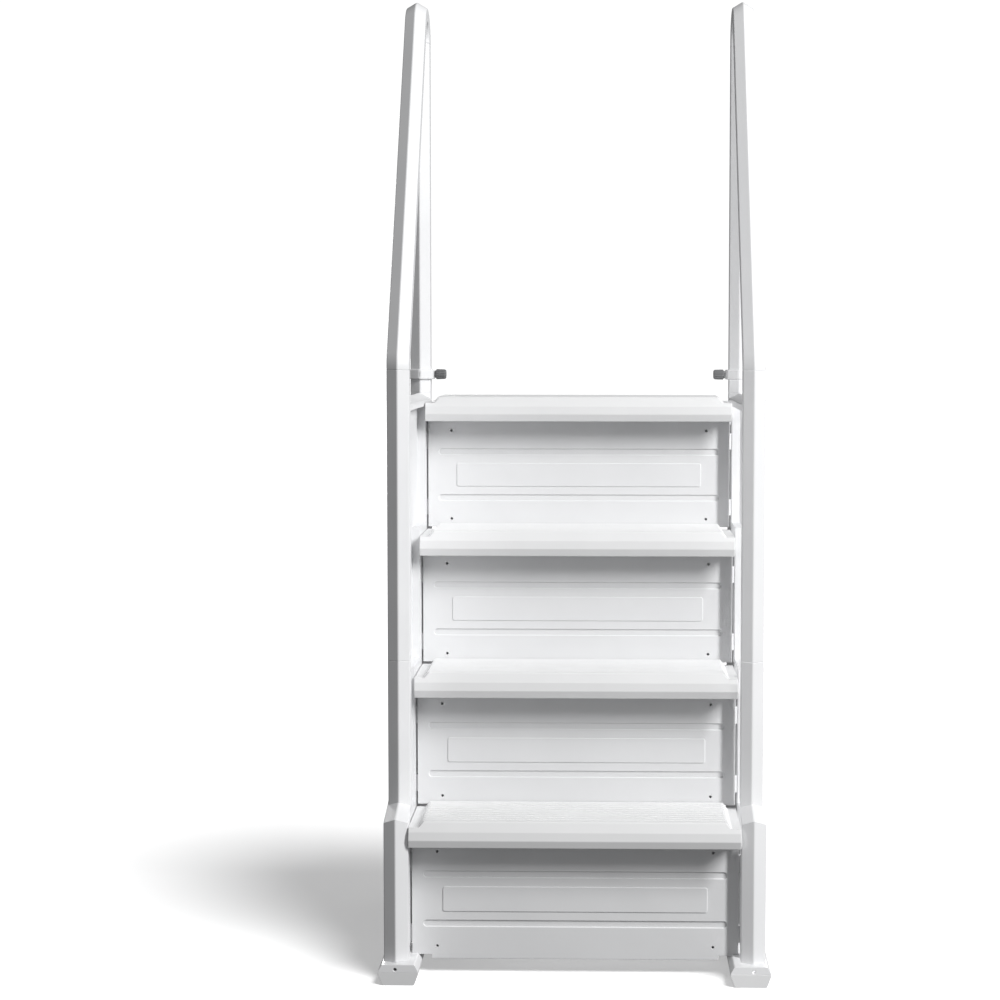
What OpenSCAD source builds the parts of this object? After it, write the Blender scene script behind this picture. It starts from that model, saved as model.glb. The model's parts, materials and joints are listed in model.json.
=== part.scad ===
// In-pool step ladder: two moulded side frames, four treads, four risers and two looped handrails.
// Millimetres, +Z up. X = 0 is the mid-plane. The step side faces -Y. Z = 0 is the floor.

/* [Steps] */
// height from one tread to the next
rise = 254; // [200:1:300]
// distance from one riser face to the next
run = 120; // [90:1:180]
// number of treads
tread_count = 4; // [2:1:4]
// half the length of a tread
tread_half = 302.4; // [250:0.2:302.4]
// how far the nose stands out in front of its riser
nose_out = 60; // [40:1:75]
// height of the lowest tread's top
first_top = 297; // [280:1:310]
// wall of the moulded treads
tread_wall = 4; // [3:0.5:6]
// number of grip ribs on a tread
grip_count = 11; // [4:1:11]
// distance from one grip rib to the next
grip_pitch = 15; // [10:1:15]

/* [Risers] */
// half the width of a riser panel
riser_half = 301.5; // [250:0.5:302]
// depth of the hollow riser panel
riser_depth = 16; // [10:1:20]
// thickness of the riser's front skin
riser_skin = 5; // [4:0.5:7]
// thickness of the riser's back skin
riser_back = 3; // [2:0.5:4]
// half the width of the raised rectangle
plate_half = 244; // [200:1:260]
// half the height of the raised rectangle
plate_tall = 23.3; // [15:0.1:30]
// distance of each groove from the riser's centre line
groove_off = 46; // [40:1:55]
// half the length of a groove
groove_half = 280; // [250:1:285]

/* [Side frames] */
// distance of the rail centre lines from the mid-plane
rail_x = 325; // [310:1:330]
// width of the rail section
rail_w = 41; // [36:0.5:42]
// depth of the rail section from ridge to ridge
rail_d = 50; // [40:1:60]
// how far the ridge stands out
rail_peak = 12; // [6:0.5:15]
// wall of the rails
rail_wall = 4; // [3:0.5:6]
// centre line of the rear rail, behind the lowest riser face
rear_y = 465; // [440:1:480]
// width of the wider lower leg
leg_w = 45; // [41:0.5:45]
// distance of the lower leg's centre line from the mid-plane
leg_x = 325.5; // [325.5:0.5:328]
// front ridge of the lower leg, in front of the lowest riser face
leg_front = 62; // [50:1:70]
// height of the shoulder where it meets the front rail
shoulder_z = 319; // [305:1:325]
// fall of the shoulder towards the lower leg
shoulder_fall = 15.5; // [5:0.5:20]
// height of the joint between the lower and upper side mouldings
joint_z = 581; // [560:1:610]
// height of the side frame's top rail
side_top = 1064; // [1055:1:1075]
// height of the joint between the front rail and the handrail
hand_z = 1115; // [1095:1:1135]
// thickness of the side web
web_t = 6; // [4:0.5:8]
// depth of the recess in the side's inner face, in front of the steps
recess_deep = 15.5; // [6:0.5:16]
// distance from the end of the recess to the next riser
recess_off = 28; // [20:1:50]

/* [Handrails] */
// full height of the ladder
rail_top = 1845; // [1720:1:1900]
// lean of the front tube from vertical
rail_lean = 28; // [24:0.5:30]
// height of the seam between the bend and the rear post
seam_z = 1770; // [1700:1:1773]

/* [Clamps] */
// underside of the clamp collar
collar_z = 1091; // [1084:1:1100]
// height of the clamp collar
collar_h = 20; // [16:1:26]
// diameter of the knob
knob_d = 21.5; // [20:0.5:28]
// length of the knob
knob_len = 23; // [14:1:25]
// diameter of the knob's stud
stud_d = 8; // [6:1:8]

/* [Feet] */
// width of a foot at its parting line
foot_w = 73; // [66:1:75]
// width of a foot where it meets the floor
sole_w = 58; // [50:1:62]
// height of the parting line
pad_h = 24; // [20:1:30]
// height of the top of the foot
foot_h = 38; // [37:1:50]
// distance of the foot's centre line from the mid-plane
foot_x = 320; // [316:0.5:322]

/* [Hidden] */

function step_z(i) = first_top + i * rise; // top of tread i, counted from the lowest

eps = 0.5;                                 // how far a cut runs past the face it opens
fit = 0.1;                                 // gap round a plug in its tube
white = [0.93, 0.93, 0.95];
grey = [0.2, 0.2, 0.21];
steel = [0.66, 0.67, 0.69];

face_x = rail_x - rail_w / 2;              // inner face of the side frames
outer_x = rail_x + rail_w / 2;             // outer face of the side frames
stile_y = rail_d / 2;                      // centre line of the front rail
toe = 13;                                  // how far a foot stands out in front of its leg
heel = 12;                                 // and behind the rear rail
foot_front = -leg_front - toe;
foot_back = rear_y + rail_d / 2 + heel;
y_mid = (foot_front + foot_back) / 2;      // centres the ladder on Y = 0

lean_r = 40;                               // bend at the foot of the handrail
lean_stub = 5;
lean_y = stile_y + lean_r * (1 - cos(rail_lean));
lean_z = hand_z + lean_stub + lean_r * sin(rail_lean);
apex_z = rail_top - rail_d / 2;
bend_r = (rear_y - lean_y - (apex_z - lean_z) * tan(rail_lean))
  / ((1 + cos(rail_lean)) - (1 - sin(rail_lean)) * tan(rail_lean));
bend_y = rear_y - bend_r;
bend_z = apex_z - bend_r;
lean_len = (bend_z + bend_r * sin(rail_lean) - lean_z) / cos(rail_lean);
plug_len = 45;                             // half the length of a coupler
spigot_len = 60;

skin_z = -1.5;                             // top of a tread between its grip ribs, below the tread's top
under_z = -44;                             // underside of a tread, below its top
tread_back = run - 2;
boss_x = 286;                              // inner end of the cleats and the screw bosses
boss_mid = 294;
cleat_h = 14;
cleat_y = [24, 110];
screw_y = [42, 92];
rib_x = [-200, -100, 0, 100, 200];
rib_t = 3;

tab_z = [-222.5, -90.5];                   // centres of the riser tabs, below the tread's top
tab_h = 32;
tab_y = [5, 13];
tab_gap = 0.2;
riser_mid = -157.5;
riser_top = under_z;
riser_low = -262;
tongue_low = -269.4;
tongue_half = 265;
dot_x = 254.5;
dot_z = 88.4;
dot_r = 2.5;

head_r = 4;
head_h = 2;
shank_r = 2;
shank_len = 16;
screw_off = 28;                            // distance of the rail screws from a joint
joint_screw_z = [joint_z - screw_off, joint_z + screw_off];
low_screw_z = foot_h + 24;
side_screw_z = side_top - screw_off;
hand_screw_z = hand_z - screw_off;
seam_screw_z = seam_z - screw_off;

// Moves the ladder so that its depth is centred.
module place() {
  translate([0, -y_mid, 0]) children();
}

// Mirrors a right-hand piece for the left side.
module side(s) {
  place() mirror([s < 0 ? 1 : 0, 0, 0]) children();
}

// Six-sided rail section, ridges front and back, shrunk by `inset`.
module rail_shape(width, inset = 0) {
  w = width / 2 - inset;
  tip = rail_d / 2 - inset * 1.15;
  edge = rail_d / 2 - rail_peak - inset * 0.6;
  polygon([[-w, -edge], [0, -tip], [w, -edge], [w, edge], [0, tip], [-w, edge]]);
}

// Upright length of rail.
module rail_up(x, y, z0, z1, width = rail_w, inset = 0) {
  translate([x, y, z0])
    linear_extrude(z1 - z0)
      rail_shape(width, inset);
}

// Outline in the Y-Z plane, `thick` wide from x towards the outside.
module slab(x, thick, points) {
  translate([x, 0, 0])
    rotate([90, 0, 90])
      linear_extrude(thick)
        polygon(points);
}

// Outline in the X-Z plane, run from y0 to y1.
module run_along(y0, y1, points) {
  translate([0, y1, 0])
    rotate([90, 0, 0])
      linear_extrude(y1 - y0)
        polygon(points);
}

// Pitched top of a horizontal rail.
module roof(x, width, low, top, y0, y1) {
  h = width / 2;
  run_along(y0, y1, [[x - h, low], [x - h, top - rail_peak], [x, top], [x + h, top - rail_peak],
    [x + h, low]]);
}

// Bend in the Y-Z plane about (y, z), from angle a0 through `turn`.
module rail_bend(y, z, radius, a0, turn, inset = 0) {
  translate([rail_x, y, z])
    rotate([90, 0, 90])
      rotate([0, 0, a0])
        rotate_extrude(angle = turn, $fn = 96)
          translate([radius, 0])
            rotate(90)
              rail_shape(rail_w, inset);
}

// ---- feet ----
pad_edge = 4;                              // height of the upright edge at the parting line
module foot_pad(s) {
  side(s) color(white)
    run_along(foot_front, foot_back, [[foot_x - sole_w / 2, 0], [foot_x + sole_w / 2, 0],
      [foot_x + foot_w / 2, pad_h - pad_edge], [foot_x + foot_w / 2, pad_h],
      [foot_x - foot_w / 2, pad_h], [foot_x - foot_w / 2, pad_h - pad_edge]]);
}

toe_hole_r = 3;
toe_hole_z = 29;
toe_hole_len = 20;
foot_top_w = 60;
notch_gap = 0.5;                           // room round the lowest riser where it crosses a shoe
leg_y = rail_d / 2 - leg_front;
module foot_shoe(s) {
  side(s) color(white) difference() {
    union() {
      run_along(foot_front, foot_back, [[foot_x - foot_w / 2, pad_h], [foot_x + foot_w / 2, pad_h],
        [foot_x + foot_top_w / 2, foot_h], [foot_x - foot_top_w / 2, foot_h]]);
      rail_up(leg_x, leg_y, foot_h - eps, foot_h + plug_len, leg_w, rail_wall + fit);
      rail_up(rail_x, rear_y, foot_h - eps, foot_h + plug_len, rail_w, rail_wall + fit);
    }
    translate([leg_x, foot_front - eps, toe_hole_z])
      rotate([-90, 0, 0])
        cylinder(r = toe_hole_r, h = toe_hole_len + eps, $fn = 32);
    for (p = [[leg_x + leg_w / 2, leg_y], [outer_x, rear_y]])
      side_bore(p[0], p[1], low_screw_z);
    // notch for the corner of the lowest riser
    translate([foot_x - foot_w / 2, -notch_gap, step_z(0) + riser_low - notch_gap])
      cube([riser_half + notch_gap - foot_x + foot_w / 2, riser_depth + 2 * notch_gap, foot_h]);
  }
}

// Hole for one self-tapping screw, from the outer face at x inwards, with a seat for its head.
module side_bore(x, y, z) {
  translate([x + eps, y, z])
    rotate([0, -90, 0]) {
      cylinder(r = head_r + fit, h = head_h + eps, $fn = 32);
      cylinder(r = shank_r + fit, h = shank_len + 2 * eps, $fn = 24);
    }
}

// Self-tapping screw, its head flush with the face at x.
module side_screw(x, y, z) {
  translate([x, y, z])
    rotate([0, -90, 0]) {
      cylinder(r = head_r, h = head_h, $fn = 32);
      cylinder(r = shank_r, h = shank_len, $fn = 24);
    }
}

// ---- side mouldings ----
// Slots for the riser tabs and, if wanted, cleats below the tread ends.
module tab_slots() {
  for (i = [0 : tread_count - 1])
    for (z = tab_z)
      translate([face_x - eps, i * run + tab_y[0] - tab_gap, step_z(i) + z - tab_h / 2 - tab_gap])
        cube([web_t + 2 * eps, tab_y[1] - tab_y[0] + 2 * tab_gap, tab_h + 2 * tab_gap]);
}

module cleat(i) {
  translate([boss_x, i * run + cleat_y[0], step_z(i) + under_z - cleat_h])
    cube([face_x - boss_x + eps, cleat_y[1] - cleat_y[0], cleat_h]);
}

module cleat_bores(i) {
  for (y = screw_y)
    translate([boss_mid, i * run + y, step_z(i) + under_z - cleat_h - eps])
      cylinder(r = tread_shank_r + fit, h = cleat_h + 2 * eps, $fn = 24);
}

leg_top = shoulder_z - 60;                 // where the lower leg runs into the shoulder
shoulder_low = shoulder_z - 70;
shoulder_h = 80;
leg_hollow = 160;                          // depth of the open end of the lower leg
stile_low = shoulder_z + 20;               // lower end of the front rail's hollow
brace_t = 4;
brace_d = 24;
low_brace_z = [60, 150, leg_top - brace_t];
mid_brace_z = [350, 465, joint_z - brace_t];
top_brace_z = [joint_z, 700, 820, 940];
web_low = low_brace_z[0];
web_high = side_top - 40;
roof_low = side_top - 50;
recess_top = side_top - 24;
function recess_z(i) = step_z(i) + 5;      // bottom of the recess above tread i

// Braces on the outside of the web.
module braces(y, heights) {
  for (z = heights)
    translate([face_x + web_t - eps, y, z])
      cube([brace_d, rear_y - y, brace_t]);
}

// Stepped outline of the recess in the Y-Z plane, from height z0 to z1, grown by `w`.
module recess_shape(z0, z1, w) {
  intersection() {
    polygon([[stile_y, recess_z(0) - w],
      for (i = [1 : tread_count - 1])
        for (z = [recess_z(i - 1) - w, i < tread_count - 1 ? recess_z(i) - w : recess_top])
          [i * run - recess_off + w, z],
      [stile_y, recess_top]]);
    translate([stile_y, z0])
      square([rear_y - stile_y, z1 - z0]);
  }
}

// Shell of the recess.
module recess_wall(z0, z1) {
  translate([face_x, 0, 0])
    rotate([90, 0, 90])
      linear_extrude(recess_deep + web_t)
        recess_shape(z0, z1, web_t);
}

// Space of the recess, behind the front rail.
module recess_space(z0, z1) {
  difference() {
    translate([face_x - eps, 0, 0])
      rotate([90, 0, 90])
        linear_extrude(recess_deep + eps)
          recess_shape(z0, z1, 0);
    rail_up(rail_x, stile_y, z0 - eps, z1 + eps);
  }
}

module side_lower(s) {
  side(s) color(white) difference() {
    union() {
      rail_up(leg_x, leg_y, foot_h, leg_top, leg_w);
      // shoulder between the lower leg and the front rail
      intersection() {
        translate([0, 0, shoulder_low])
          linear_extrude(shoulder_h)
            polygon([[leg_x - leg_w / 2, rail_peak - leg_front], [leg_x, -leg_front],
              [leg_x + leg_w / 2, rail_peak - leg_front], [leg_x + leg_w / 2, rail_d - rail_peak],
              [face_x, rail_d - rail_peak], [face_x, -rail_peak], [leg_x - leg_w / 2, -rail_peak]]);
        translate([0, 0, shoulder_z])
          rotate([shoulder_fall, 0, 0])
            roof(leg_x, leg_w, -2 * rail_d, 0, -2 * leg_front, 2 * rail_d);
      }
      rail_up(rail_x, stile_y, leg_top, joint_z);
      rail_up(rail_x, rear_y, foot_h, joint_z);
      slab(face_x, web_t, [[leg_y, web_low], [rear_y, web_low], [rear_y, joint_z], [stile_y, joint_z],
        [stile_y, leg_top], [leg_y, leg_top]]);
      recess_wall(0, joint_z);
      braces(leg_y, low_brace_z);
      braces(stile_y, mid_brace_z);
      for (i = [0, 1])
        cleat(i);
    }
    rail_up(leg_x, leg_y, foot_h - eps, foot_h + leg_hollow, leg_w, rail_wall);
    rail_up(rail_x, stile_y, stile_low, joint_z + eps, rail_w, rail_wall);
    rail_up(rail_x, rear_y, foot_h - eps, joint_z + eps, rail_w, rail_wall);
    recess_space(0, joint_z + eps);
    tab_slots();
    for (i = [0, 1])
      cleat_bores(i);
    side_bore(leg_x + leg_w / 2, leg_y, low_screw_z);
    side_bore(outer_x, rear_y, low_screw_z);
    side_bore(outer_x, stile_y, joint_screw_z[0]);
    side_bore(outer_x, rear_y, joint_screw_z[0]);
  }
}

module side_upper(s) {
  side(s) color(white) difference() {
    union() {
      rail_up(rail_x, stile_y, joint_z, hand_z);
      rail_up(rail_x, rear_y, joint_z, side_top);
      roof(rail_x, rail_w, roof_low, side_top, stile_y, rear_y);
      slab(face_x, web_t, [[stile_y, joint_z], [rear_y, joint_z], [rear_y, web_high], [stile_y, web_high]]);
      recess_wall(joint_z, side_top);
      braces(stile_y, top_brace_z);
      for (i = [2, 3])
        cleat(i);
    }
    rail_up(rail_x, stile_y, joint_z - eps, hand_z + eps, rail_w, rail_wall);
    rail_up(rail_x, rear_y, joint_z - eps, side_top + eps, rail_w, rail_wall);
    recess_space(joint_z - eps, side_top);
    tab_slots();
    for (i = [2, 3])
      cleat_bores(i);
    side_bore(outer_x, stile_y, joint_screw_z[1]);
    side_bore(outer_x, rear_y, joint_screw_z[1]);
    side_bore(outer_x, rear_y, side_screw_z);
    side_bore(outer_x, stile_y, hand_screw_z);
  }
}

// ---- handrails ----
// The path of the handrail from its foot over the top bend to the seam.
module loop_path(inset, past) {
  rail_up(rail_x, stile_y, hand_z - past, hand_z + lean_stub, rail_w, inset);
  rail_bend(stile_y + lean_r, hand_z + lean_stub, lean_r, 180 - rail_lean, rail_lean, inset);
  translate([rail_x, lean_y, lean_z])
    rotate([-rail_lean, 0, 0])
      linear_extrude(lean_len)
        rail_shape(rail_w, inset);
  rail_bend(bend_y, bend_z, bend_r, 0, 180 - rail_lean, inset);
  rail_up(rail_x, rear_y, seam_z - past, bend_z, rail_w, inset);
}

module rail_loop(s) {
  side(s) color(white) difference() {
    union() {
      loop_path(0, 0);
      rail_up(rail_x, stile_y, hand_z - spigot_len, hand_z + eps, rail_w, rail_wall + fit);
      rail_up(rail_x, rear_y, seam_z - spigot_len, seam_z + eps, rail_w, rail_wall + fit);
    }
    loop_path(2 * rail_wall, spigot_len + eps);
    side_bore(outer_x, stile_y, hand_screw_z);
    side_bore(outer_x, rear_y, seam_screw_z);
  }
}

module rail_post(s) {
  side(s) color(white) difference() {
    rail_up(rail_x, rear_y, side_top, seam_z);
    rail_up(rail_x, rear_y, side_top - eps, seam_z + eps, rail_w, rail_wall);
    side_bore(outer_x, rear_y, seam_screw_z);
  }
}

// ---- clamps ----
collar_gap = 0.4;
collar_in = 7.5;                            // how far the lobe stands out on the knob's side
collar_wall = 5;
lobe_r = 11;
slit_w = 1.4;
slit_in = 7;                               // depth of the slit, from in front of the collar
slit_h = 11;
knob_x = face_x - collar_in;
knob_y = rear_y;
knob_z = collar_z + collar_h / 2;
module clamp_collar(s) {
  side(s) color(white) difference() {
    translate([0, 0, collar_z])
      linear_extrude(collar_h) {
        translate([rail_x, rear_y])
          rail_shape(rail_w, -collar_gap - collar_wall);
        // lobe that takes the stud
        translate([knob_x + lobe_r, rear_y])
          circle(r = lobe_r, $fn = 64);
      }
    rail_up(rail_x, rear_y, collar_z - eps, collar_z + collar_h + eps, rail_w, -collar_gap);
    // slit in the front ridge
    translate([rail_x - slit_w / 2, rear_y - rail_d / 2 - collar_wall - 4, knob_z - slit_h / 2])
      cube([slit_w, slit_in, slit_h]);
    translate([knob_x - eps, knob_y, knob_z])
      rotate([0, 90, 0])
        cylinder(d = stud_d + fit, h = collar_in + 2 * eps, $fn = 64);
  }
}

knob_gap = 0.5;
knob_neck_d = knob_d - 6;
knob_neck = 2.5;                           // length of the knob's neck
knob_flutes = 12;
flute_r = 1.6;
stud_in = 12;                              // length of stud held by the knob
tip_gap = 0.6;
module clamp_knob(s) {
  side(s) color(grey) translate([knob_x - knob_gap, knob_y, knob_z]) rotate([0, -90, 0]) difference() {
    union() {
      cylinder(d = knob_neck_d, h = knob_neck + eps, $fn = 64);
      translate([0, 0, knob_neck])
        cylinder(d = knob_d, h = knob_len - knob_neck, $fn = 96);
    }
    for (k = [0 : knob_flutes - 1])
      rotate([0, 0, k * 360 / knob_flutes])
        translate([knob_d / 2 + flute_r / 4, 0, knob_neck - eps])
          cylinder(r = flute_r, h = knob_len, $fn = 24);
    translate([0, 0, -eps])
      cylinder(d = stud_d, h = stud_in + eps, $fn = 64);
  }
}

module knob_stud(s) {
  side(s) color(steel) translate([knob_x - knob_gap - stud_in, knob_y, knob_z])
    rotate([0, 90, 0])
      cylinder(d = stud_d, h = stud_in + knob_gap + collar_in - tip_gap, $fn = 64);
}

// ---- treads ----
// Heights are below the tread's top, and depths are behind its riser's face.
nose_z = [-48.5, -34.5, -19.5];            // lower edge, ridge and upper edge of the nose
nose_set = [4, 0, 3];                      // how far each stands behind the ridge
lip_t = 8;                                 // thickness of the nose's lower lip
crown_y = -48;                             // where the nose's slope meets the top
ledge_z = -12;                             // lowered ledges along both ends
ledge_t = 4;
wall_x = [274, 283.5];                     // slanted wall above a ledge, at its top and at its foot
grip_y = -46;                              // front of the first grip rib
grip_w = 4.5;
grip_out = 1.6;                            // how far a grip rib stands out from the slanted wall
grip_root = 3;
boss_side = 12;                            // room round the screws in a tread's solid ends
boss_top = -15.5;
tread_shank_r = 2.4;
tread_head_r = 5.5;
tread_head_h = 3.2;
tread_shank_len = 30;

// Outline of a tread, seen from the side.
function tread_outline() = [
  [nose_set[0] - nose_out, nose_z[0]], [nose_set[1] - nose_out, nose_z[1]],
  [nose_set[2] - nose_out, nose_z[2]], [crown_y, skin_z], [tread_back, skin_z], [tread_back, under_z],
  [nose_set[0] + lip_t + 2 - nose_out, under_z], [nose_set[0] + lip_t - nose_out, nose_z[0]]];

// Outline of the space below its skin, which runs out through the underside.
function hollow_outline(w) = [
  [nose_set[0] + w - nose_out, nose_z[0] - eps], [nose_set[1] + w - nose_out, nose_z[1]],
  [nose_set[2] + w + 1 - nose_out, nose_z[2] - w / 2], [crown_y + w / 2, skin_z - w],
  [tread_back - w, skin_z - w], [tread_back - w, nose_z[0] - eps]];

// Outline of a rib that stiffens the skin from below.
function web_outline(w) = [
  [nose_set[0] + lip_t + 2 - nose_out, under_z], [nose_set[1] + w + 2 - nose_out, nose_z[1]],
  [nose_set[2] + w + 1 - nose_out, nose_z[2] - w], [crown_y + w / 2, skin_z - w / 2],
  [tread_back - w / 2, skin_z - w / 2], [tread_back - w / 2, under_z]];

module tread_shell() {
  w = tread_wall;
  difference() {
    slab(-tread_half, 2 * tread_half, tread_outline());
    slab(w - tread_half, 2 * (tread_half - w), hollow_outline(w));
  }
  for (x = rib_x)
    slab(x - rib_t / 2, rib_t, web_outline(w));
  for (m = [0, 1])
    mirror([m, 0, 0]) {
      // solid end that takes the screws
      translate([boss_x, screw_y[0] - boss_side, under_z])
        cube([tread_half - 1 - boss_x, screw_y[1] - screw_y[0] + 2 * boss_side, boss_top - under_z]);
      // floor and wall of the ledge
      intersection() {
        translate([wall_x[0] - ledge_t, -nose_out, ledge_z - ledge_t])
          cube([tread_half - 1 - wall_x[0] + ledge_t, tread_back - 1 + nose_out,
            skin_z - eps - ledge_z + ledge_t]);
        slab(0, tread_half, tread_outline());
      }
    }
}

// Space above a ledge.
module ledge_space() {
  past = tread_half + eps;
  run_along(-nose_out - eps, tread_back + eps, [[wall_x[0], skin_z], [wall_x[1], ledge_z], [past, ledge_z],
    [past, -ledge_z], [wall_x[0], -ledge_z]]);
}

// Grip rib across the top and down both slanted walls.
module grip_rib(y) {
  top = wall_x[0] + grip_out;
  foot = wall_x[1] + grip_out;
  run_along(y, y + grip_w, [[-top, 0], [-foot, ledge_z], [grip_root - foot, ledge_z - 1],
    [grip_root - top, skin_z - 1], [top - grip_root, skin_z - 1], [foot - grip_root, ledge_z - 1],
    [foot, ledge_z], [top, 0]]);
}

module tread(i) {
  place() color(white) translate([0, i * run, step_z(i)]) difference() {
    union() {
      difference() {
        tread_shell();
        for (m = [0, 1])
          mirror([m, 0, 0])
            ledge_space();
      }
      for (k = [0 : grip_count - 1])
        grip_rib(grip_y + k * grip_pitch);
    }
    for (x = [-boss_mid, boss_mid])
      for (y = screw_y)
        translate([x, y, under_z - eps])
          cylinder(r = tread_shank_r + fit, h = tread_shank_len - cleat_h + 2 * eps, $fn = 24);
  }
}

// ---- risers ----
module stadium(half, tall) {
  square([2 * half - tall, tall], center = true);
  for (x = [tall / 2 - half, half - tall / 2])
    translate([x, 0])
      circle(d = tall, $fn = 48);
}

module round_plate(half_w, half_h, r) {
  square([2 * (half_w - r), 2 * half_h], center = true);
  square([2 * half_w, 2 * (half_h - r)], center = true);
  for (x = [r - half_w, half_w - r])
    for (z = [r - half_h, half_h - r])
      translate([x, z])
        circle(r = r, $fn = 32);
}

groove_h = 12;
groove_deep = 2.5;
plate_out = 1.5;
plate_r = 4;
rim_t = 4;
post_r = 10;                               // posts that join the two skins
post_x = [-150, 0, 150];
post_z = 68;
dimple_r = 7;                              // dimples in the back skin, one at each post
dimple_deep = 4;

// Space between the two skins.
module riser_space() {
  difference() {
    translate([rim_t - riser_half, riser_skin, riser_low + rim_t])
      cube([2 * (riser_half - rim_t), riser_depth - riser_skin - riser_back,
        riser_top - riser_low - 2 * rim_t]);
    riser_posts(riser_skin - eps, riser_depth, post_r);
  }
}

module riser_posts(y0, y1, r) {
  for (x = post_x)
    for (z = [riser_mid - post_z, riser_mid + post_z])
      translate([x, y0, z])
        rotate([-90, 0, 0])
          cylinder(r = r, h = y1 - y0, $fn = 48);
}

module riser(i) {
  place() color(white) translate([0, i * run, step_z(i)]) difference() {
    union() {
      translate([-riser_half, 0, riser_low])
        cube([2 * riser_half, riser_depth, riser_top - riser_low]);
      translate([-tongue_half, 0, tongue_low])
        cube([2 * tongue_half, riser_skin, riser_low - tongue_low + 1]);
      // tabs that reach into the side webs
      for (x = [-face_x - web_t, riser_half - 1])
        for (z = tab_z)
          translate([x, tab_y[0], z - tab_h / 2])
            cube([face_x + web_t - riser_half + 1, tab_y[1] - tab_y[0], tab_h]);
      // raised rectangle
      translate([0, riser_skin - 1, riser_mid])
        rotate([90, 0, 0])
          linear_extrude(riser_skin - 1 + plate_out)
            round_plate(plate_half, plate_tall, plate_r);
    }
    riser_space();
    riser_posts(riser_depth - dimple_deep, riser_depth + eps, dimple_r);
    for (z = [riser_mid - groove_off, riser_mid + groove_off])
      translate([0, groove_deep, z])
        rotate([90, 0, 0])
          linear_extrude(groove_deep + plate_out + eps)
            stadium(groove_half, groove_h);
    for (x = [-dot_x, dot_x])
      for (z = [riser_mid - dot_z, riser_mid + dot_z])
        translate([x, -eps, z])
          rotate([-90, 0, 0])
            cylinder(r = dot_r, h = riser_skin + 2 * eps, $fn = 32);
  }
}

// ---- couplers and fasteners ----
module coupler(y, z) {
  difference() {
    rail_up(rail_x, y, z - plug_len, z + plug_len, rail_w, rail_wall + fit);
    rail_up(rail_x, y, z - plug_len - eps, z + plug_len + eps, rail_w, 2 * rail_wall);
    children();
  }
}

module mid_couplers() {
  for (s = [-1, 1])
    side(s) color(white)
      for (y = [stile_y, rear_y])
        coupler(y, joint_z)
          for (z = joint_screw_z)
            side_bore(outer_x, y, z);
}

module post_couplers() {
  for (s = [-1, 1])
    side(s) color(white)
      coupler(rear_y, side_top)
        side_bore(outer_x, rear_y, side_screw_z);
}

module tread_screws() {
  for (s = [-1, 1])
    side(s) color(steel)
      for (i = [0 : tread_count - 1])
        for (y = screw_y)
          translate([boss_mid, i * run + y, step_z(i) + under_z - cleat_h]) {
            translate([0, 0, -tread_head_h])
              cylinder(r = tread_head_r, h = tread_head_h, $fn = 32);
            cylinder(r = tread_shank_r, h = tread_shank_len, $fn = 24);
          }
}

module rail_screws() {
  for (s = [-1, 1])
    side(s) color(steel) {
      side_screw(leg_x + leg_w / 2, leg_y, low_screw_z);
      side_screw(outer_x, rear_y, low_screw_z);
      for (y = [stile_y, rear_y])
        for (z = joint_screw_z)
          side_screw(outer_x, y, z);
      side_screw(outer_x, rear_y, side_screw_z);
      side_screw(outer_x, stile_y, hand_screw_z);
      side_screw(outer_x, rear_y, seam_screw_z);
    }
}

foot_pad(-1);  // foot_pad_l
foot_pad(1);  // foot_pad_r
foot_shoe(-1);  // foot_shoe_l
foot_shoe(1);  // foot_shoe_r
side_lower(-1);  // side_lower_l
side_lower(1);  // side_lower_r
side_upper(-1);  // side_upper_l
side_upper(1);  // side_upper_r
rail_loop(-1);  // rail_loop_l
rail_loop(1);  // rail_loop_r
rail_post(-1);  // rail_post_l
rail_post(1);  // rail_post_r
clamp_collar(-1);  // clamp_collar_l
clamp_collar(1);  // clamp_collar_r
clamp_knob(-1);  // clamp_knob_l
clamp_knob(1);  // clamp_knob_r
knob_stud(-1);  // knob_stud_l
knob_stud(1);  // knob_stud_r
tread(3);  // tread_1
tread(2);  // tread_2
tread(1);  // tread_3
tread(0);  // tread_4
riser(3);  // riser_1
riser(2);  // riser_2
riser(1);  // riser_3
riser(0);  // riser_4
mid_couplers();
post_couplers();
tread_screws();
rail_screws();
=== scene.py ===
"""Looks of the pool ladder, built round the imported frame. Shapes are worked out in millimetres."""
import json
import math

import bmesh
import bpy
from mathutils import Matrix, Vector

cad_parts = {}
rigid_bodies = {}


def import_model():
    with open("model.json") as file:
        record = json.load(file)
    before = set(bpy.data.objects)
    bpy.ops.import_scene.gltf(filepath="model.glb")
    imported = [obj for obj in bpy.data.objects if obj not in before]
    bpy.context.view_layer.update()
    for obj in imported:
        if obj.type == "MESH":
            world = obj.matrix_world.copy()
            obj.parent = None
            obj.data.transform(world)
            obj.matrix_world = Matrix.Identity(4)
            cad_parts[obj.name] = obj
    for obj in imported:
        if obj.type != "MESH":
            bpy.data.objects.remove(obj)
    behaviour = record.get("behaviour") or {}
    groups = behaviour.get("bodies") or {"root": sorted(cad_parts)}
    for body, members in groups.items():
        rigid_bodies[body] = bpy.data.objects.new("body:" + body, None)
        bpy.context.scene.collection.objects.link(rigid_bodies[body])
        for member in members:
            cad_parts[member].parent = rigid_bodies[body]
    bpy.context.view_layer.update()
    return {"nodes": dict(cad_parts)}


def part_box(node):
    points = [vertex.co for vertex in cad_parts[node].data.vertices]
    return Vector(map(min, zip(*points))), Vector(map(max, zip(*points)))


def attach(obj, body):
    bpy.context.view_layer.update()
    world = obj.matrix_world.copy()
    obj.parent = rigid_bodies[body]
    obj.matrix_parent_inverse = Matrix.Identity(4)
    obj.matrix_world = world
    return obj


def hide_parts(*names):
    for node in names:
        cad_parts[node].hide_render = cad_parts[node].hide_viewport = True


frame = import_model()

MM = 0.001


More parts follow.
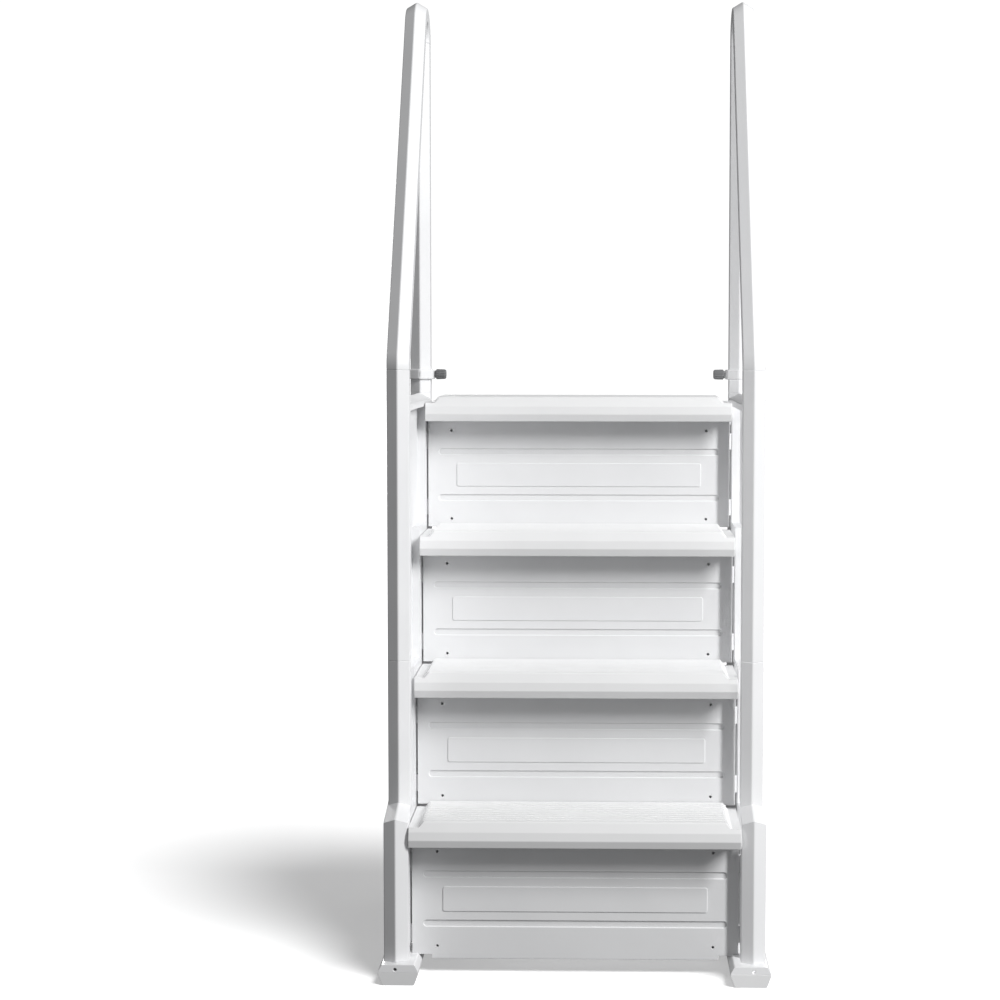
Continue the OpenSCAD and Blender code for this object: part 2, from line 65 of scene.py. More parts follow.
# ---- places, read from the frame ----
def span(node):
    """Lowest and highest corner of a CAD node, in millimetres."""
    low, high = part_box(node)
    return low / MM, high / MM


NOSE_OUT = 60.0          # nose in front of its riser's face
PLATE_OUT = 1.5          # raised rectangle in front of the riser's face

riser_low = span("riser_4")[0]
post_low, post_high = span("rail_post_r")
upper_low, upper_high = span("side_upper_r")
lower_low, lower_high = span("side_lower_r")
pad_low, pad_high = span("foot_pad_r")
shoe_low, shoe_high = span("foot_shoe_r")
collar_low, collar_high = span("clamp_collar_r")
knob_low, knob_high = span("clamp_knob_r")

FACE_Y = riser_low.y + PLATE_OUT                 # face of the lowest riser
RAIL_W = post_high.x - post_low.x
RAIL_D = post_high.y - post_low.y
RAIL_X = (post_low.x + post_high.x) / 2
REAR_Y = (post_low.y + post_high.y) / 2
STILE_Y = FACE_Y + RAIL_D / 2
SIDE_TOP = post_low.z
SEAM_Z = post_high.z
JOINT_Z = upper_low.z
HAND_Z = upper_high.z
RAIL_TOP = span("rail_loop_r")[1].z
LEG_OUT = lower_high.x                           # outer face of the lower leg
LEG_X = LEG_OUT - 22.5
LEG_W = 45.0
LEG_RIDGE = lower_low.y
LEG_Y = LEG_RIDGE + RAIL_D / 2
FOOT_TOP = lower_low.z
FOOT_X = (pad_low.x + pad_high.x) / 2
PEAK = 12.0                                      # height of the ridges on the rails
WEB = 6.0                                        # wall of the side mouldings
INNER_X = RAIL_X - RAIL_W / 2
SHOULDER_Z = 319.0
SHOULDER_FALL = math.radians(15.5)
LEG_TOP = SHOULDER_Z - 60.0
RECESS = 15.5                                    # depth of the recess in front of the steps
RECESS_OFF = 28.0                                # its step faces in front of the risers
RECESS_LIFT = 5.0                                # its ledges above the treads
RECESS_TOP = SIDE_TOP - 24.0
NOTCH = 0.5                                      # play round the riser in the foot
TREADS = ["tread_1", "tread_2", "tread_3", "tread_4"]
RISERS = ["riser_1", "riser_2", "riser_3", "riser_4"]
RISER_HALF = 301.5
RISER_MID = -157.5                               # heights below the tread's top
RISER_LOW, RISER_TOP = -262.0, -44.0
RISER_DEPTH = 16.0
RISER_SKIN = 5.0                                 # front wall of the hollow riser
RISER_BACK = 3.0
TONGUE = 7.4                                     # length of the riser's lower tongue
TAB_HEIGHTS = (-222.5, -90.5)                    # of the riser's end tabs
TAB_FRONT, TAB_BACK, TAB_TALL = 5, 13, 16        # depths behind its face, and half height
HAIR = 0.05                                      # keeps joined solids from sharing a face


def tread_place(node):
    """Riser face and top of a tread."""
    low, high = span(node)
    return low.y + NOSE_OUT, high.z


# ---- outlines ----
def rounded(corners, steps=5):
    """Closed outline with an arc at each corner (u, v, radius), counter-clockwise."""
    points = []
    for i, (u, v, radius) in enumerate(corners):
        here = Vector((u, v))
        to_last = (Vector(corners[i - 1][:2]) - here).normalized()
        to_next = (Vector(corners[(i + 1) % len(corners)][:2]) - here).normalized()
        half = to_last.angle(to_next) / 2
        if radius <= 0 or half > math.radians(89.5):
            points.append(here)
            continue
        centre = here + (to_last + to_next).normalized() * radius / math.sin(half)
        first = here + to_last * radius / math.tan(half) - centre
        last = here + to_next * radius / math.tan(half) - centre
        start = math.atan2(first.y, first.x)
        turn = math.remainder(math.atan2(last.y, last.x) - start, 2 * math.pi)
        for k in range(steps + 1):
            angle = start + turn * k / steps
            points.append(centre + radius * Vector((math.cos(angle), math.sin(angle))))
    area = sum(a.cross(b) for a, b in zip(points, points[1:] + points[:1]))
    return points if area > 0 else points[::-1]


def circle(u, v, radius, count=32):
    """Closed circle."""
    turn = 2 * math.pi / count
    return [Vector((u + radius * math.cos(k * turn), v + radius * math.sin(k * turn)))
            for k in range(count)]


def inset(points, by):
    """Outline moved inwards by a distance, or outwards by a negative one."""
    moved = []
    for i, here in enumerate(points):
        a = (here - points[i - 1]).normalized()
        b = (points[(i + 1) % len(points)] - here).normalized()
        na, nb = Vector((-a.y, a.x)), Vector((-b.y, b.x))
        moved.append(here + (na + nb) * (by / (1 + na.dot(nb))))
    return moved


def rail_outline(width=RAIL_W, ridge=4.0, side=3.0, grow=0.0):
    """Six-sided rail section with a ridge front and back, about its own centre."""
    w, tip = width / 2 + grow, RAIL_D / 2 + grow * 1.15
    edge = RAIL_D / 2 - PEAK + grow * 0.6
    return rounded([(-w, -edge, side), (0, -tip, ridge), (w, -edge, side),
                    (w, edge, side), (0, tip, ridge), (-w, edge, side)])


def moved(points, u, v):
    return [p + Vector((u, v)) for p in points]


def round_ends(low, high, radius, steps=3):
    """Levels (height, inset) of a straight solid with rounded ends."""
    arc = [math.pi / 2 * k / steps for k in range(steps + 1)]
    first = [(low + radius * (1 - math.cos(a)), radius * (1 - math.sin(a))) for a in arc]
    last = [(high - radius * (1 - math.cos(a)), radius * (1 - math.sin(a))) for a in reversed(arc)]
    return first + last


# ---- solids ----
ALONG = {"x": lambda u, v, h: (h, u, v),
         "y": lambda u, v, h: (u, h, v),
         "z": lambda u, v, h: (u, v, h)}


def skin(loops):
    """Closed mesh through a row of loops that have the same number of points."""
    bm = bmesh.new()
    made = [[bm.verts.new(p) for p in loop] for loop in loops]
    for a, b in zip(made, made[1:]):
        for i in range(len(a)):
            j = (i + 1) % len(a)
            bm.faces.new((a[i], a[j], b[j], b[i]))
    bm.faces.new(made[0])
    bm.faces.new(made[-1])
    bmesh.ops.recalc_face_normals(bm, faces=bm.faces)
    if bm.calc_volume(signed=True) < 0:
        bmesh.ops.reverse_faces(bm, faces=bm.faces)
    return bm


def prism(points, levels, axis):
    """Solid along an axis with one (height, inset) level per ring."""
    return skin([[ALONG[axis](p.x, p.y, height) for p in inset(points, by)]
                 for height, by in levels])


def block(low, high, radius=1.0, axis="y"):
    """Box with rounded edges."""
    u, v, h = {"x": (1, 2, 0), "y": (0, 2, 1), "z": (0, 1, 2)}[axis]
    corners = [(low[u], low[v]), (high[u], low[v]), (high[u], high[v]), (low[u], high[v])]
    return prism(rounded([(a, b, radius * 1.05) for a, b in corners], 3),
                 round_ends(low[h], high[h], radius), axis)


def lathe(profile, count=32):
    """Solid turned about Z from (radius, height) points; the ends are closed."""
    turn = 2 * math.pi / count
    return skin([[(r * math.cos(k * turn), r * math.sin(k * turn), z) for k in range(count)]
                 for r, z in profile])


def turned(bm, matrix):
    bmesh.ops.transform(bm, matrix=matrix, verts=bm.verts)
    return bm


def joined(parts):
    """Several solids as one mesh, without merging them."""
    whole = bmesh.new()
    for part in parts:
        mesh = bpy.data.meshes.new("part")
        part.to_mesh(mesh)
        part.free()
        whole.from_mesh(mesh)
        bpy.data.meshes.remove(mesh)
    return whole


def carve(base, steps):
    """Solid after a row of ("UNION" | "DIFFERENCE" | "INTERSECT", solid) steps."""
    def as_object(bm):
        mesh = bpy.data.meshes.new("solid")
        bm.to_mesh(mesh)
        bm.free()
        obj = bpy.data.objects.new("solid", mesh)
        bpy.context.scene.collection.objects.link(obj)
        return obj
    body = as_object(base)
    tools = []
    for operation, solid in steps:
        tool = as_object(solid)
        tools.append(tool)
        change = body.modifiers.new("change", "BOOLEAN")
        change.operation = operation
        change.solver = "MANIFOLD"
        change.object = tool
    graph = bpy.context.evaluated_depsgraph_get()
    result = bmesh.new()
    result.from_object(body, graph)
    for obj in [body, *tools]:
        mesh = obj.data
        bpy.data.objects.remove(obj)
        bpy.data.meshes.remove(mesh)
    bmesh.ops.remove_doubles(result, verts=result.verts, dist=0.002)
    return result


def mirrored(bm, wanted):
    """The solid, or its mirror image in X = 0."""
    if wanted:
        bmesh.ops.transform(bm, matrix=Matrix.Scale(-1, 4, (1, 0, 0)), verts=bm.verts)
        bmesh.ops.reverse_faces(bm, faces=bm.faces)
    return bm


SHARP = math.radians(32)


def piece(name, bm, body, material, stands_for):
    """Finished piece in metres that rides on a body and stands for its CAD nodes."""
    bmesh.ops.transform(bm, matrix=Matrix.Scale(MM, 4), verts=bm.verts)
    bmesh.ops.dissolve_degenerate(bm, dist=1e-7, edges=bm.edges)
    for edge in bm.edges:
        edge.smooth = not edge.is_manifold or edge.calc_face_angle(0) < SHARP
    for face in bm.faces:
        face.smooth = True
    mesh = bpy.data.meshes.new(name)
    bm.to_mesh(mesh)
    bm.free()
    mesh.materials.append(material)
    obj = bpy.data.objects.new(name, mesh)
    bpy.context.scene.collection.objects.link(obj)
    shading = obj.modifiers.new("shading", "WEIGHTED_NORMAL")
    shading.keep_sharp = True
    shading.weight = 80
    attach(obj, body)
    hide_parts(*stands_for)
    return obj


# ---- materials ----
def resin(name, colour, shade, rough, grain=0.35, seed=0.0):
    """Moulded resin: faint mottling, a fine satin grain and slow waviness of the moulded skin."""
    mat = bpy.data.materials.new(name)
    mat.use_nodes = True
    nodes, links = mat.node_tree.nodes, mat.node_tree.links
    shader = nodes["Principled BSDF"]
    place = nodes.new("ShaderNodeTexCoord")
    shift = nodes.new("ShaderNodeMapping")
    shift.inputs["Location"].default_value = (seed, seed * 2, seed * 3)
    links.new(place.outputs["Object"], shift.inputs["Vector"])

    def noise(scale, detail, roughness=0.5):
        tex = nodes.new("ShaderNodeTexNoise")
        tex.inputs["Scale"].default_value = scale
        tex.inputs["Detail"].default_value = detail
        tex.inputs["Roughness"].default_value = roughness
        links.new(shift.outputs["Vector"], tex.inputs["Vector"])
        return tex

    mottle = noise(9.0, 4.0)
    ramp = nodes.new("ShaderNodeValToRGB")
    ramp.color_ramp.elements[0].position = 0.3
    ramp.color_ramp.elements[1].position = 0.7
    ramp.color_ramp.elements[0].color = (*shade, 1)
    ramp.color_ramp.elements[1].color = (*colour, 1)
    links.new(mottle.outputs["Fac"], ramp.inputs["Fac"])
    links.new(ramp.outputs["Color"], shader.inputs["Base Color"])

    patchy = noise(40.0, 3.0)
    gloss = nodes.new("ShaderNodeMapRange")
    gloss.inputs["To Min"].default_value = rough - 0.06
    gloss.inputs["To Max"].default_value = rough + 0.06
    links.new(patchy.outputs["Fac"], gloss.inputs["Value"])
    links.new(gloss.outputs["Result"], shader.inputs["Roughness"])

    fine = noise(1400.0, 2.0, 0.6)
    wave = noise(14.0, 1.0)
    bump_fine = nodes.new("ShaderNodeBump")
    bump_fine.inputs["Strength"].default_value = grain
    bump_fine.inputs["Distance"].default_value = 0.0001
    links.new(fine.outputs["Fac"], bump_fine.inputs["Height"])
    bump_wave = nodes.new("ShaderNodeBump")
    bump_wave.inputs["Strength"].default_value = 0.25
    bump_wave.inputs["Distance"].default_value = 0.0012
    links.new(wave.outputs["Fac"], bump_wave.inputs["Height"])
    links.new(bump_fine.outputs["Normal"], bump_wave.inputs["Normal"])
    links.new(bump_wave.outputs["Normal"], shader.inputs["Normal"])
    shader.inputs["Specular IOR Level"].default_value = 0.45
    return mat


def steel_finish():
    """Stainless steel with fine turned marks."""
    mat = bpy.data.materials.new("stainless_steel")
    mat.use_nodes = True
    nodes, links = mat.node_tree.nodes, mat.node_tree.links
    shader = nodes["Principled BSDF"]
    shader.inputs["Metallic"].default_value = 1.0
    place = nodes.new("ShaderNodeTexCoord")
    tex = nodes.new("ShaderNodeTexNoise")
    tex.inputs["Scale"].default_value = 900.0
    tex.inputs["Detail"].default_value = 3.0
    links.new(place.outputs["Object"], tex.inputs["Vector"])
    ramp = nodes.new("ShaderNodeValToRGB")
    ramp.color_ramp.elements[0].color = (0.5, 0.51, 0.52, 1)
    ramp.color_ramp.elements[1].color = (0.68, 0.69, 0.7, 1)
    links.new(tex.outputs["Fac"], ramp.inputs["Fac"])
    links.new(ramp.outputs["Color"], shader.inputs["Base Color"])
    gloss = nodes.new("ShaderNodeMapRange")
    gloss.inputs["To Min"].default_value = 0.22
    gloss.inputs["To Max"].default_value = 0.4
    links.new(tex.outputs["Fac"], gloss.inputs["Value"])
    links.new(gloss.outputs["Result"], shader.inputs["Roughness"])
    return mat


FRAME_RESIN = resin("frame_resin", (0.80, 0.803, 0.81), (0.77, 0.773, 0.782), 0.42, seed=0.3)
TREAD_RESIN = resin("tread_resin", (0.80, 0.802, 0.805), (0.775, 0.777, 0.78), 0.48, seed=1.7)
RISER_RESIN = resin("riser_resin", (0.79, 0.793, 0.80), (0.765, 0.768, 0.775), 0.5, seed=2.9)
PAD_PLASTIC = resin("pad_plastic", (0.76, 0.762, 0.765), (0.73, 0.732, 0.737), 0.5, seed=4.1)
KNOB_PLASTIC = resin("knob_plastic", (0.17, 0.172, 0.176), (0.13, 0.132, 0.136), 0.42,
                     grain=0.6, seed=5.3)
STAINLESS = steel_finish()


# ---- feet ----
def foot_pad():
    base = 29.0
    wide = (pad_high.x - pad_low.x) / 2
    top = pad_high.z
    points = rounded([(FOOT_X - base, 0, 4), (FOOT_X + base, 0, 4), (FOOT_X + wide, top - 4, 3),
                      (FOOT_X + wide, top, 0.6), (FOOT_X - wide, top, 0.6), (FOOT_X - wide, top - 4, 3)])
    return prism(points, round_ends(pad_low.y, pad_high.y, 0.55), "y")


def foot_shoe():
    wide, top_half = (shoe_high.x - shoe_low.x) / 2, 30.0
    low, top = pad_high.z, FOOT_TOP
    edge, hole_up, hole_r, hole_deep = 1.5, 5, 3.0, 20
    toe = shoe_low.y
    points = rounded([(FOOT_X - wide, low, 0.6), (FOOT_X + wide, low, 0.6),
                      (FOOT_X + wide, low + edge, 1.5), (FOOT_X + top_half, top, 3.5),
                      (FOOT_X - top_half, top, 3.5), (FOOT_X - wide, low + edge, 1.5)])
    hole = prism(circle(LEG_X, low + hole_up, hole_r),
                 [(toe - 1, -1.1), (toe, -0.9), (toe + 0.4, -0.3), (toe + 1.1, 0), (toe + hole_deep, 0)],
                 "y")
    notch = block((FOOT_X - wide, FACE_Y - NOTCH, riser_low.z + TONGUE - NOTCH),
                  (RISER_HALF + NOTCH, FACE_Y + RISER_DEPTH + NOTCH, top + 10), 0.2)
    return carve(prism(points, round_ends(shoe_low.y, shoe_high.y, 0.55), "y"),
                 [("DIFFERENCE", hole), ("DIFFERENCE", notch)])


# ---- side mouldings ----
OUTER_X = RAIL_X + RAIL_W / 2
SCREW_HEAD = 2.0                                 # thickness of a rail screw's head
SCREW_R = 4.0
SEAT_R = 4.1
SCREW_OFF = 28                                   # rail screws from the joint that they lock
SCREW_LOW_Z = FOOT_TOP + 24
SCREW_PLACES = [(LEG_OUT, LEG_Y, SCREW_LOW_Z), (OUTER_X, REAR_Y, SCREW_LOW_Z)]
SCREW_PLACES += [(OUTER_X, y, JOINT_Z + z) for y in (STILE_Y, REAR_Y) for z in (-SCREW_OFF, SCREW_OFF)]
SCREW_PLACES += [(OUTER_X, REAR_Y, SIDE_TOP - SCREW_OFF), (OUTER_X, STILE_Y, HAND_Z - SCREW_OFF),
                 (OUTER_X, REAR_Y, SEAM_Z - SCREW_OFF)]


def screw_seats(low, high):
    """Seats for the screw heads between two heights."""
    def levels(x):
        floor_x = x - SCREW_HEAD
        return [(floor_x, 0.2), (floor_x + 0.2, 0), (x - 0.4, 0), (x, -0.4), (x + 1, -0.4)]

    return joined([prism(circle(y, z, SEAT_R), levels(x), "x")
                   for x, y, z in SCREW_PLACES if low < z < high])


def upright(x, y, low, high, width=RAIL_W, radius=1.0, ridge=4.0, side=3.0):
    return prism(moved(rail_outline(width, ridge, side), x, y), round_ends(low, high, radius), "z")


def web(points):
    return prism(rounded([(y, z, 0.4) for y, z in points], 2),
                 [(INNER_X + 2 * HAIR, 0), (INNER_X + WEB, 0)], "x")


def brace(low_y, high_y, z):
    deep, thick = 24, 4
    return block((INNER_X + WEB - 1, low_y, z), (INNER_X + WEB + deep, high_y, z + thick), 1.0)


def tab_slot(face_y, top_z):
    gap = 0.2
    return [block((INNER_X - 2, face_y + TAB_FRONT - gap, top_z + z - TAB_TALL - gap),
                  (INNER_X + WEB + 2, face_y + TAB_BACK + gap, top_z + z + TAB_TALL + gap), 0.3, "x")
            for z in TAB_HEIGHTS]


def cleat(face_y, top_z):
    """Ledge on the side's inner face that carries one end of a tread."""
    inner, front, back, thick = 286, 24, 110, 14
    return block((inner, face_y + front, top_z + UNDER_Z - thick),
                 (INNER_X + 1, face_y + back, top_z + UNDER_Z - HAIR), 1.0)


def recess_outline(low, high, grow):
    """Stepped outline of the side's recess in the Y-Z plane, between two heights."""
    steps = [tread_place(node) for node in reversed(TREADS)]
    line = [(STILE_Y, steps[0][1] + RECESS_LIFT - grow)]
    for (_, below), (face_y, above) in zip(steps, steps[1:]):
        line += [(face_y - RECESS_OFF + grow, z + RECESS_LIFT - grow) for z in (below, above)]
    line[-1] = (line[-1][0], RECESS_TOP)
    clipped = []
    for (y0, z0), (y1, z1) in zip(line, line[1:]):
        if z0 == z1:
            if low < z0 < high:
                clipped += [(y0, z0), (y1, z1)]
        elif z1 > low and z0 < high:
            clipped += [(y0, min(max(z0, low), high)), (y1, min(max(z1, low), high))]
    points = [p for i, p in enumerate(clipped) if i == 0 or p != clipped[i - 1]]
    if points[0][0] > STILE_Y:
        points.insert(0, (STILE_Y, points[0][1]))
    return [Vector(p) for p in points + [(STILE_Y, points[-1][1])]]


def recess(low, high):
    """Steps that add the recess's shell and then hollow it out."""
    shell = prism(recess_outline(low, high, WEB),
                  [(INNER_X + 3 * HAIR, 0), (INNER_X + RECESS + WEB, 0)], "x")
    space = prism(recess_outline(low - 1, high + 1, 0), [(INNER_X - 1, 0), (INNER_X + RECESS, 0)], "x")
    space = carve(space, [("DIFFERENCE", upright(RAIL_X, STILE_Y, low - 5, high + 5))])
    return shell, space


def tab_slots():
    return joined([slot for node in TREADS for slot in tab_slot(*tread_place(node))])


def side_lower():
    """Lower leg, sloping shoulder, front and rear rails, web with braces, and two cleats."""
    w = LEG_W / 2
    past, far = w + HAIR, 200
    back = FACE_Y + RAIL_D - PEAK
    plan = rounded([(LEG_X - w, LEG_RIDGE + PEAK, 3), (LEG_X, LEG_RIDGE, 4),
                    (LEG_X + w, LEG_RIDGE + PEAK, 3), (LEG_X + w, back, 3), (INNER_X + HAIR, back, 1),
                    (INNER_X + HAIR, FACE_Y - PEAK, 0.5), (LEG_X - w, FACE_Y - PEAK, 0.5)])
    roof = prism(rounded([(LEG_X - past, -2 * far, 0), (LEG_X + past, -2 * far, 0),
                          (LEG_X + past, -PEAK, 3.5), (LEG_X, 0, 5), (LEG_X - past, -PEAK, 3.5)]),
                 [(-far, 0), (far, 0)], "y")
    roof = turned(roof, Matrix.Translation((0, FACE_Y, SHOULDER_Z))
                  @ Matrix.Rotation(SHOULDER_FALL, 4, "X"))
    shoulder = carve(prism(plan, [(LEG_TOP - 10, 0), (SHOULDER_Z + 20, 0)], "z"), [("INTERSECT", roof)])
    braces = [(LEG_Y, z) for z in (60, 150, LEG_TOP - 4)]
    braces += [(STILE_Y, z) for z in (350, 465, JOINT_Z - 4.3)]
    low = FOOT_TOP + 18
    adds = [upright(LEG_X, LEG_Y, FOOT_TOP, LEG_TOP, LEG_W - 2 * HAIR),
            upright(RAIL_X, STILE_Y, LEG_TOP - 15, JOINT_Z),
            upright(RAIL_X, REAR_Y, FOOT_TOP, JOINT_Z),
            web([(LEG_Y, low), (REAR_Y, low), (REAR_Y, JOINT_Z - 0.3), (STILE_Y, JOINT_Z - 0.3),
                 (STILE_Y, LEG_TOP), (LEG_Y, LEG_TOP)])]
    shell, space = recess(0, JOINT_Z - 2 * HAIR)
    adds += [shell]
    adds += [brace(y, REAR_Y, z) for y, z in braces]
    adds += [cleat(*tread_place(node)) for node in TREADS[2:]]
    cuts = [space, tab_slots(), screw_seats(0, JOINT_Z)]
    return carve(shoulder, [("UNION", solid) for solid in adds]
                 + [("DIFFERENCE", solid) for solid in cuts])


def side_upper():
    """Front, rear and top rails, web with braces, and two cleats."""
    w = RAIL_W / 2 - HAIR
    roof = prism(rounded([(RAIL_X - w, SIDE_TOP - 50, 3), (RAIL_X + w, SIDE_TOP - 50, 3),
                          (RAIL_X + w, SIDE_TOP - PEAK, 3), (RAIL_X, SIDE_TOP, 4),
                          (RAIL_X - w, SIDE_TOP - PEAK, 3)]),
                 [(STILE_Y, 0), (REAR_Y, 0)], "y")
    adds = [upright(RAIL_X, REAR_Y, JOINT_Z, SIDE_TOP), roof,
            web([(STILE_Y, JOINT_Z + 0.3), (REAR_Y, JOINT_Z + 0.3), (REAR_Y, SIDE_TOP - 40),
                 (STILE_Y, SIDE_TOP - 40)])]
    shell, space = recess(JOINT_Z + 2 * HAIR, SIDE_TOP)
    adds += [shell]
    adds += [brace(STILE_Y, REAR_Y, z) for z in (JOINT_Z + 0.3, 700, 820, 940)]
    adds += [cleat(*tread_place(node)) for node in TREADS[:2]]
    cuts = [space, tab_slots(), screw_seats(JOINT_Z, HAND_Z)]
    return carve(upright(RAIL_X, STILE_Y, JOINT_Z, HAND_Z),
                 [("UNION", solid) for solid in adds] + [("DIFFERENCE", solid) for solid in cuts])


# ---- handrails ----
LEAN = math.radians(28)                          # of the sloping tube
LEAN_R = 40.0                                    # bend between stile and slope
LEAN_STUB = 5.0
LEAN_STEPS, BEND_STEPS = 8, 32


def loop_path():
    """Points and directions of the handrail's centre line in the Y-Z plane."""
    lean_y = STILE_Y + LEAN_R * (1 - math.cos(LEAN))
    lean_z = HAND_Z + LEAN_STUB + LEAN_R * math.sin(LEAN)
    apex = RAIL_TOP - RAIL_D / 2
    bend = (REAR_Y - lean_y - (apex - lean_z) * math.tan(LEAN)) / (
        (1 + math.cos(LEAN)) - (1 - math.sin(LEAN)) * math.tan(LEAN))
    path = [(STILE_Y, HAND_Z, math.pi / 2)]
    for k in range(LEAN_STEPS + 1):
        a = LEAN * k / LEAN_STEPS
        path.append((STILE_Y + LEAN_R * (1 - math.cos(a)), HAND_Z + LEAN_STUB + LEAN_R * math.sin(a),
                     math.pi / 2 - a))
    for k in range(BEND_STEPS + 1):
        a = math.pi - LEAN - (math.pi - LEAN) * k / BEND_STEPS
        path.append((REAR_Y - bend + bend * math.cos(a), apex - bend + bend * math.sin(a),
                     a - math.pi / 2))
    path.append((REAR_Y, SEAM_Z, -math.pi / 2))
    return path


def rail_loop():
    section = rail_outline()
    path = loop_path()
    arc = [math.pi / 2 * k / 3 for k in range(3)]
    ends = [(1 - math.cos(a), 1 - math.sin(a)) for a in arc]

    def loop(y, z, angle, by):
        across = Vector((math.sin(angle), -math.cos(angle)))
        return [(RAIL_X + p.x, y + across.x * p.y, z + across.y * p.y) for p in inset(section, by)]

    first, last = path[0], path[-1]
    loops = [loop(first[0], first[1] + along, first[2], by) for along, by in ends]
    loops.append(loop(first[0], first[1] + 1, first[2], 0))
    loops += [loop(*point, 0) for point in path[1:-1]]
    loops.append(loop(last[0], last[1] + 1, last[2], 0))
    loops += [loop(last[0], last[1] + along, last[2], by) for along, by in reversed(ends)]
    return skin(loops)


def rail_post():
    return carve(upright(RAIL_X, REAR_Y, SIDE_TOP, SEAM_Z),
                 [("DIFFERENCE", screw_seats(HAND_Z, SEAM_Z))])


# ---- clamps ----
def clamp_collar():
    """Ring round the rear post, with a lobe that holds the knob's stud and a slit in front."""
    low, high = collar_low.z, collar_high.z
    middle = (low + high) / 2
    grow, play = 5.4, 0.4
    lobe_r = 11.0
    slit_half, slit_tall = 0.7, 5.5
    ring = prism(moved(rail_outline(RAIL_W, 9, 8, grow), RAIL_X, REAR_Y),
                 round_ends(low, high, 2.2, 4), "z")
    lobe = prism(circle(collar_low.x + lobe_r, REAR_Y, lobe_r, 48),
                 round_ends(low + HAIR, high - HAIR, 2.2, 4), "z")
    hollow = prism(moved(rail_outline(RAIL_W, 4, 3, play), RAIL_X, REAR_Y),
                   [(low - 1, 0), (high + 1, 0)], "z")
    front = REAR_Y - RAIL_D / 2 - grow * 1.15
    slit = block((RAIL_X - slit_half, front - 3, middle - slit_tall),
                 (RAIL_X + slit_half, front + 3.5, middle + slit_tall), 0.4)
    return carve(ring, [("UNION", lobe), ("DIFFERENCE", hollow), ("DIFFERENCE", slit)])


def clamp_knob():
    """Ribbed knob with a domed, dished outer face, on the inner side of its collar."""
    length = knob_high.x - knob_low.x
    radius = (knob_high.z - knob_low.z) / 2
    middle_z = (knob_low.z + knob_high.z) / 2
    flutes, flute_deep, count = 12, 1.3, 144
    levels = [(0, radius - 3.4, 0), (0.5, radius - 3, 0), (2.4, radius - 3, 0),
              (2.6, radius - 1.2, 0.3), (3.4, radius - 0.3, 0.9), (4.6, radius, 1.0),
              (length - 3.6, radius - 0.5, 1.0), (length - 1.6, radius - 1.1, 0.9),
              (length - 0.5, radius - 2.3, 0.45), (length, radius - 3.9, 0),
              (length - 0.1, radius - 4.8, 0), (length - 0.7, radius - 5.6, 0), (length - 0.9, 2.0, 0)]
    loops = []
    for h, r, depth in levels:
        loop = []
        for k in range(count):
            a = 2 * math.pi * k / count
            wave = 0.5 - 0.5 * math.cos(flutes * a)
            rr = r - flute_deep * depth * (1 - wave ** 0.6)
            loop.append((knob_high.x - h, REAR_Y + rr * math.cos(a), middle_z + rr * math.sin(a)))
        loops.append(loop)
    return skin(loops)


# ---- treads ----
SKIN_Z = -1.5
UNDER_Z = -44.0
TREAD_HALF = span("tread_1")[1].x
TREAD_BACK = 118.0
LEDGE_Z = -12.0
LEDGE_TOP_X, LEDGE_LOW_X = 274.0, 283.5
GRIPS, GRIP_PITCH, GRIP_W = 11, 15.0, 4.5
GRIP_FIRST = -46.0
GRIP_OUT = 3.4                                   # grip ribs beyond the slanted walls
CROWN_Y = -48.0                                  # front edge of the flat top
UNDER_RIBS = (-200, -100, 0, 100, 200)


